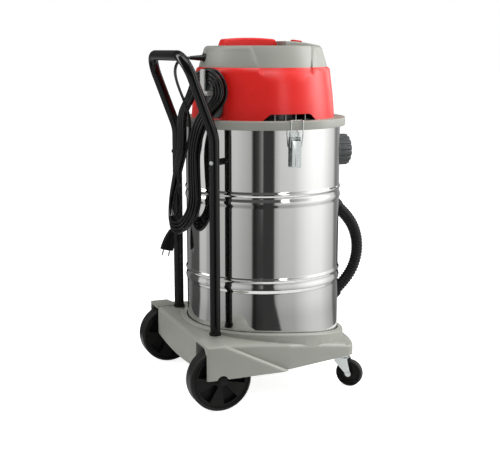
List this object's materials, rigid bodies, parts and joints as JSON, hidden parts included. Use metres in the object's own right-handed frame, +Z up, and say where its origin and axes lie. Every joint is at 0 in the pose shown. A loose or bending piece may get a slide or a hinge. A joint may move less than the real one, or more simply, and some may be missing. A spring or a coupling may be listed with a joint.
{
  "type": "shop vacuum",
  "caption": "Wheeled wet and dry shop vacuum: polished drum with a latched motor head, drain hose, wound power cord and a push handle on a trolley with swivel casters.",
  "frame": {"origin": "on the floor under the middle of the footprint, the free cord left out", "axes": "+Z up, -Y to the front where the inlet, the drain hose and the casters are, +Y to the rear where the push handle is, -X to the right of a person behind the handle"},
  "size_m": [0.532, 0.637, 0.983],
  "materials": {
    "grey_plastic": "satin moulded plastic",
    "polished_steel": "mirror polished sheet",
    "red_plastic": "semi-gloss moulded plastic",
    "switch_red": "gloss plastic",
    "black_plastic": "satin plastic",
    "slate_plastic": "satin plastic",
    "pale_plastic": "satin plastic",
    "hose_plastic": "semi-gloss corrugated plastic",
    "black_rubber": "matt rubber",
    "tyre_rubber": "matt tyre",
    "black_tube": "gloss black powder coat",
    "zinc": "bright zinc plate",
    "motor_metal": "cast",
    "cloth": "felt",
    "pin_metal": "nickel plate"
  },
  "bodies": {
    "chassis": {"axle_caps": "black_plastic", "carry_handle": "red_plastic", "caster_plate_left": "zinc", "caster_plate_right": "zinc", "cord_hook": "pale_plastic", "cord_saddle": "slate_plastic", "drain_hose": "hose_plastic", "drain_spigot": "black_plastic", "drum": "polished_steel", "drum_gasket": "black_rubber", "filter_bag": "cloth", "filter_cage": "black_plastic", "handle_ferrules": "black_plastic", "handle_screws": "zinc", "handle_standoffs": "black_tube", "handle_tube": "black_tube", "head_rim": "grey_plastic", "hose_holder": "black_plastic", "inlet_deflector": "black_plastic", "inlet_port": "slate_plastic", "latch_plate_left": "zinc", "latch_plate_right": "zinc", "motor_cover": "red_plastic", "motor_plate": "black_plastic", "plug_body": "black_plastic", "plug_pins": "pin_metal", "power_cord_hank": "black_rubber", "power_cord_lead": "black_rubber", "power_cord_tail": "black_rubber", "rear_axle": "zinc", "strain_relief": "black_rubber", "suction_motor_left": "motor_metal", "suction_motor_right": "motor_metal", "switch_bezel": "black_plastic", "top_cover": "grey_plastic", "trolley_base": "grey_plastic", "vent_grilles": "pale_plastic"},
    "rear_wheel_right": {"rear_tyre_right": "tyre_rubber", "rear_hub_right": "black_plastic"},
    "caster_right": {"caster_fork_right": "zinc", "caster_axle_right": "zinc"},
    "caster_wheel_right": {"caster_tyre_right": "tyre_rubber", "caster_hub_right": "black_plastic"},
    "latch_lever_right": {"latch_lever_right": "zinc"},
    "latch_bail_right": {"latch_bail_right": "zinc"},
    "rotor_right": {"motor_rotor_right": "motor_metal"},
    "rear_wheel_left": {"rear_tyre_left": "tyre_rubber", "rear_hub_left": "black_plastic"},
    "caster_left": {"caster_fork_left": "zinc", "caster_axle_left": "zinc"},
    "caster_wheel_left": {"caster_tyre_left": "tyre_rubber", "caster_hub_left": "black_plastic"},
    "latch_lever_left": {"latch_lever_left": "zinc"},
    "latch_bail_left": {"latch_bail_left": "zinc"},
    "rotor_left": {"motor_rotor_left": "motor_metal"},
    "rocker": {"rocker_switch": "switch_red"},
    "float": {"float_valve": "black_plastic"}
  },
  "joints": [
    {"name": "rear_wheel_right_spin", "type": "hinge", "parent": "chassis", "child": "rear_wheel_right", "pos_m": [-0.231, 0.233, 0.086], "axis": [1, 0, 0], "continuous": true},
    {"name": "caster_right_swivel", "type": "hinge", "parent": "chassis", "child": "caster_right", "pos_m": [-0.18, -0.164, 0.083], "axis": [0, 0, 1], "continuous": true},
    {"name": "caster_right_roll", "type": "hinge", "parent": "caster_right", "child": "caster_wheel_right", "pos_m": [-0.19609, -0.179, 0.0385], "axis": [-0.682, 0.7314, 0], "continuous": true},
    {"name": "latch_lever_right_swing", "type": "hinge", "parent": "chassis", "child": "latch_lever_right", "pos_m": [-0.229, 0.011, 0.718], "axis": [0, 1, 0], "range_deg": [0, 130]},
    {"name": "latch_bail_right_swing", "type": "hinge", "parent": "latch_lever_right", "child": "latch_bail_right", "pos_m": [-0.2295, 0.011, 0.696], "axis": [0, 1, 0], "range_deg": [-130, 0]},
    {"name": "rotor_right_spin", "type": "hinge", "parent": "chassis", "child": "rotor_right", "pos_m": [-0.082, 0.011, 0.803], "axis": [0, 0, 1], "continuous": true},
    {"name": "rear_wheel_left_spin", "type": "hinge", "parent": "chassis", "child": "rear_wheel_left", "pos_m": [0.231, 0.233, 0.086], "axis": [1, 0, 0], "continuous": true},
    {"name": "caster_left_swivel", "type": "hinge", "parent": "chassis", "child": "caster_left", "pos_m": [0.18, -0.164, 0.083], "axis": [0, 0, 1], "continuous": true},
    {"name": "caster_left_roll", "type": "hinge", "parent": "caster_left", "child": "caster_wheel_left", "pos_m": [0.19609, -0.179, 0.0385], "axis": [-0.682, -0.7314, 0], "continuous": true},
    {"name": "latch_lever_left_swing", "type": "hinge", "parent": "chassis", "child": "latch_lever_left", "pos_m": [0.229, 0.011, 0.718], "axis": [0, -1, 0], "range_deg": [0, 130]},
    {"name": "latch_bail_left_swing", "type": "hinge", "parent": "latch_lever_left", "child": "latch_bail_left", "pos_m": [0.2295, 0.011, 0.696], "axis": [0, -1, 0], "range_deg": [-130, 0]},
    {"name": "rotor_left_spin", "type": "hinge", "parent": "chassis", "child": "rotor_left", "pos_m": [0.082, 0.011, 0.803], "axis": [0, 0, 1], "continuous": true},
    {"name": "rocker_tilt", "type": "hinge", "parent": "chassis", "child": "rocker", "pos_m": [0, -0.09088, 0.96593], "axis": [1, 0, 0], "range_deg": [-6, 6]},
    {"name": "float_lift", "type": "slide", "parent": "chassis", "child": "float", "axis": [0, 0, 1], "range_m": [0, 0.034]}
  ],
  "couplings": [
    {"joint": "latch_bail_right_swing", "follows": "latch_lever_right_swing", "ratio": -1},
    {"joint": "latch_bail_left_swing", "follows": "latch_lever_left_swing", "ratio": -1}
  ]
}
